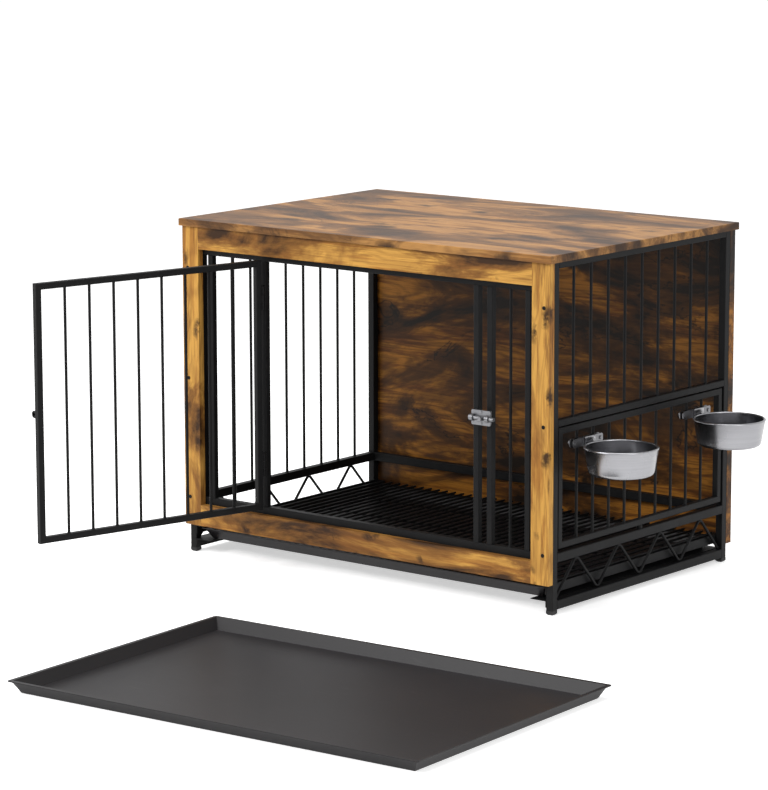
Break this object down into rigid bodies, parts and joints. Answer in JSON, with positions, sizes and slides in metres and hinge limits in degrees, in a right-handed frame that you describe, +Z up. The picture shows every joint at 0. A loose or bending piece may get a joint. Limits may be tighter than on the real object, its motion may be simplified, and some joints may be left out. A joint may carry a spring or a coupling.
{
  "type": "pet crate end table",
  "caption": "Barred steel pet crate under a board top that serves as a side table, with a framed swinging door, slide latch, pivoting feeder panel with lift-off bowls, and slide-in floor tray.",
  "frame": {"origin": "on the floor, under the middle of the bounding box of the crate and the tray that lies in front of it", "axes": "+Z up, +Y from the door side to the back board, +X to the feeder side, right-handed"},
  "size_m": [1.432, 1.721, 0.714],
  "materials": {
    "wood_top": "satin",
    "wood_board": "satin",
    "black_steel": "matte",
    "black_plastic": "matte",
    "bright_steel": "brushed",
    "bowl_steel": "brushed",
    "tray_plastic": "satin"
  },
  "bodies": {
    "frame": {"table_top": "wood_top", "front_stile_left": "wood_board", "front_stile_right": "wood_board", "front_rail_top": "wood_board", "front_rail_bottom": "wood_board", "back_board": "wood_board", "leg_front_left": "black_steel", "leg_front_right": "black_steel", "leg_back_left": "black_steel", "leg_back_right": "black_steel", "feet": "black_plastic", "bottom_rail_left": "black_steel", "bottom_rail_right": "black_steel", "lower_rail_left": "black_steel", "lower_rail_right": "black_steel", "top_rail_left": "black_steel", "top_rail_right": "black_steel", "mid_rail_right": "black_steel", "wall_bars_left": "black_steel", "wall_bars_right": "black_steel", "truss_left": "black_steel", "truss_right": "black_steel", "back_rails": "black_steel", "front_post_left": "black_steel", "front_post_right": "black_steel", "fixed_bars": "black_steel", "front_lower_rail": "black_steel", "front_upper_rail": "black_steel", "fixed_post_left": "black_steel", "jamb_left": "black_steel", "jamb_right": "black_steel", "latch_post": "black_steel", "fixed_post_right": "black_steel", "floor_wires": "black_steel", "floor_cross_wires": "black_steel", "floor_ledges": "black_steel", "tray_runners": "black_steel", "hinge_halves_frame": "black_steel", "latch_plate": "bright_steel"},
    "door": {"door_stile_hinge": "black_steel", "door_stile_free": "black_steel", "door_rail_bottom": "black_steel", "door_rail_top": "black_steel", "door_bars": "black_steel", "hinge_halves_door": "black_steel", "door_keeper": "black_steel"},
    "latch_bolt": {"latch_bolt": "bright_steel"},
    "feeder_panel": {"feeder_stiles": "black_steel", "feeder_rails": "black_steel", "feeder_bars": "black_steel", "bowl_brackets": "bright_steel", "bowl_clamps": "bright_steel", "bowl_screws": "bright_steel"},
    "bowl_front": {"bowl_front": "bowl_steel"},
    "bowl_back": {"bowl_back": "bowl_steel"},
    "floor_tray": {"floor_tray": "tray_plastic"},
    "spare_tray": {"spare_tray": "tray_plastic"}
  },
  "joints": [
    {"name": "door_hinge", "type": "hinge", "parent": "frame", "child": "door", "pos_m": [-0.49847, 0.21439, 0.38], "axis": [0, 0, 1], "range_deg": [-16, 104]},
    {"name": "latch_slide", "type": "slide", "parent": "frame", "child": "latch_bolt", "axis": [-1, 0, 0], "range_m": [0, 0.018]},
    {"name": "feeder_pivot", "type": "hinge", "parent": "frame", "child": "feeder_panel", "pos_m": [0.23203, 0.52799, 0.25], "axis": [0, 0, 1], "continuous": true},
    {"name": "bowl_front_lift", "type": "slide", "parent": "feeder_panel", "child": "bowl_front", "axis": [0, 0, 1], "range_m": [0, 0.013]},
    {"name": "bowl_back_lift", "type": "slide", "parent": "feeder_panel", "child": "bowl_back", "axis": [0, 0, 1], "range_m": [0, 0.013]},
    {"name": "tray_slide", "type": "slide", "parent": "frame", "child": "floor_tray", "axis": [0, -1, 0], "range_m": [0, 0.42]},
    {"name": "spare_tray_lift", "type": "slide", "parent": "frame", "child": "spare_tray", "axis": [0, 0, 1], "range_m": [0, 0.08]}
  ]
}
